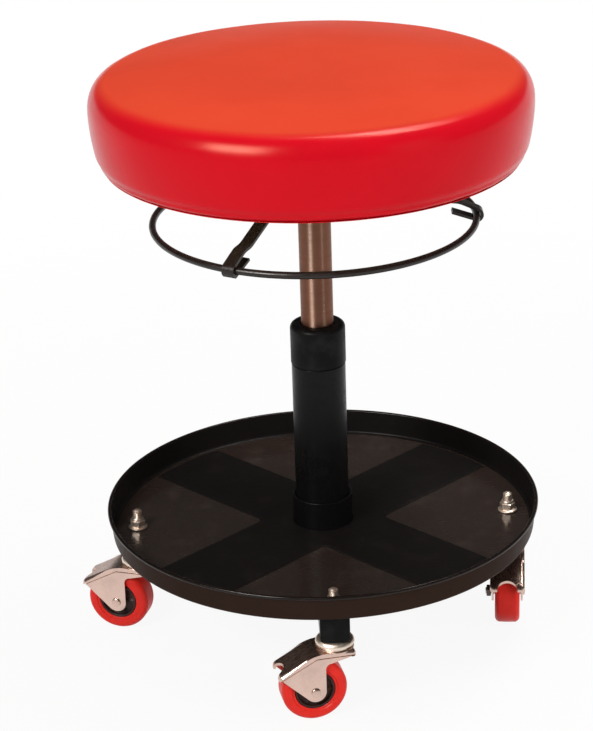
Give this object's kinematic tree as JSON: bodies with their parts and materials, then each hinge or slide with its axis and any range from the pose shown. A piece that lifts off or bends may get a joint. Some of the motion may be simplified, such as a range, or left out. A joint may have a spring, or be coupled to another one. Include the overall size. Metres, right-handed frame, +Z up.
{
  "type": "rolling stool",
  "caption": "Round padded workshop stool on a gas lift with a ring release lever, a round tool tray below and swivel casters.",
  "frame": {"origin": "on the floor, on the axis of the column", "axes": "+Z up along the column; the stool's front, as pictured, faces -Y"},
  "size_m": [0.4085, 0.3825, 0.515],
  "materials": {
    "red_vinyl": "satin",
    "plywood": "matte",
    "black_steel": "gloss",
    "black_plastic": "satin",
    "bright_steel": "polished",
    "zinc_plate": "satin",
    "dark_steel": "satin",
    "red_tread": "satin"
  },
  "bodies": {
    "base": {"column_tube": "black_steel", "guide_bush": "black_plastic", "thrust_bearing": "dark_steel", "base_hub": "black_steel", "tray": "black_steel", "base_arm_front": "black_steel", "arm_plug_front": "black_plastic", "caster_stem_front": "zinc_plate", "caster_nut_front": "zinc_plate", "base_arm_left": "black_steel", "arm_plug_left": "black_plastic", "caster_stem_left": "zinc_plate", "caster_nut_left": "zinc_plate", "base_arm_right": "black_steel", "arm_plug_right": "black_plastic", "caster_stem_right": "zinc_plate", "caster_nut_right": "zinc_plate", "base_arm_back": "black_steel", "arm_plug_back": "black_plastic", "caster_stem_back": "zinc_plate", "caster_nut_back": "zinc_plate"},
    "piston": {"piston_rod": "bright_steel", "piston": "dark_steel", "rod_clip": "dark_steel"},
    "seat": {"seat_cushion": "red_vinyl", "seat_board": "plywood", "seat_bracket": "black_steel", "taper_socket": "black_steel", "seat_bolt_1": "zinc_plate", "seat_bolt_2": "zinc_plate", "seat_bolt_3": "zinc_plate", "pressure_tube": "bright_steel", "tube_end_guide": "dark_steel"},
    "ring_lever": {"lever_hub": "black_steel", "lever_arm_1": "black_steel", "lever_arm_2": "black_steel", "lever_arm_3": "black_steel", "lever_ring": "black_steel"},
    "release_pin": {"release_pin": "zinc_plate"},
    "fork_front": {"caster_fork_front": "zinc_plate", "caster_axle_front": "zinc_plate", "axle_nut_front": "dark_steel"},
    "wheel_front": {"wheel_tyre_front": "red_tread", "wheel_core_front": "black_plastic"},
    "fork_left": {"caster_fork_left": "zinc_plate", "caster_axle_left": "zinc_plate", "axle_nut_left": "dark_steel"},
    "wheel_left": {"wheel_tyre_left": "red_tread", "wheel_core_left": "black_plastic"},
    "fork_right": {"caster_fork_right": "zinc_plate", "caster_axle_right": "zinc_plate", "axle_nut_right": "dark_steel"},
    "wheel_right": {"wheel_tyre_right": "red_tread", "wheel_core_right": "black_plastic"},
    "fork_back": {"caster_fork_back": "zinc_plate", "caster_axle_back": "zinc_plate", "axle_nut_back": "dark_steel"},
    "wheel_back": {"wheel_tyre_back": "red_tread", "wheel_core_back": "black_plastic"}
  },
  "joints": [
    {"name": "seat_swivel", "type": "hinge", "parent": "base", "child": "piston", "pos_m": [0, 0, 0.0754], "axis": [0, 0, 1], "continuous": true},
    {"name": "seat_lift", "type": "slide", "parent": "piston", "child": "seat", "axis": [0, 0, 1], "range_m": [-0.085, 0.03]},
    {"name": "ring_lever", "type": "hinge", "parent": "seat", "child": "ring_lever", "pos_m": [0, -0.022, 0.4397], "axis": [-1, 0, 0], "range_deg": [0, 7], "stiffness_Nm_per_rad": 8, "springref_deg": -5.73},
    {"name": "release_pin", "type": "slide", "parent": "seat", "child": "release_pin", "axis": [0, 0, -1], "range_m": [0, 0.0031]},
    {"name": "caster_swivel_front", "type": "hinge", "parent": "base", "child": "fork_front", "pos_m": [0.00576, -0.1649, 0.062], "axis": [0, 0, 1], "continuous": true},
    {"name": "wheel_spin_front", "type": "hinge", "parent": "fork_front", "child": "wheel_front", "pos_m": [-0.0138, -0.16906, 0.028], "axis": [0.2079, -0.9781, 0], "continuous": true},
    {"name": "caster_swivel_left", "type": "hinge", "parent": "base", "child": "fork_left", "pos_m": [-0.1649, -0.00576, 0.062], "axis": [0, 0, 1], "continuous": true},
    {"name": "wheel_spin_left", "type": "hinge", "parent": "fork_left", "child": "wheel_left", "pos_m": [-0.18403, 0.00009, 0.028], "axis": [-0.2924, -0.9563, 0], "continuous": true},
    {"name": "caster_swivel_right", "type": "hinge", "parent": "base", "child": "fork_right", "pos_m": [0.1649, 0.00576, 0.062], "axis": [0, 0, 1], "continuous": true},
    {"name": "wheel_spin_right", "type": "hinge", "parent": "fork_right", "child": "wheel_right", "pos_m": [0.16316, -0.01417, 0.028], "axis": [0.9962, -0.0872, 0], "continuous": true},
    {"name": "caster_swivel_back", "type": "hinge", "parent": "base", "child": "fork_back", "pos_m": [-0.00576, 0.1649, 0.062], "axis": [0, 0, 1], "continuous": true},
    {"name": "wheel_spin_back", "type": "hinge", "parent": "fork_back", "child": "wheel_back", "pos_m": [0.01356, 0.17008, 0.028], "axis": [-0.2588, 0.9659, 0], "continuous": true}
  ],
  "couplings": [
    {"joint": "release_pin", "follows": "ring_lever", "m_per_rad": 0.0252}
  ]
}
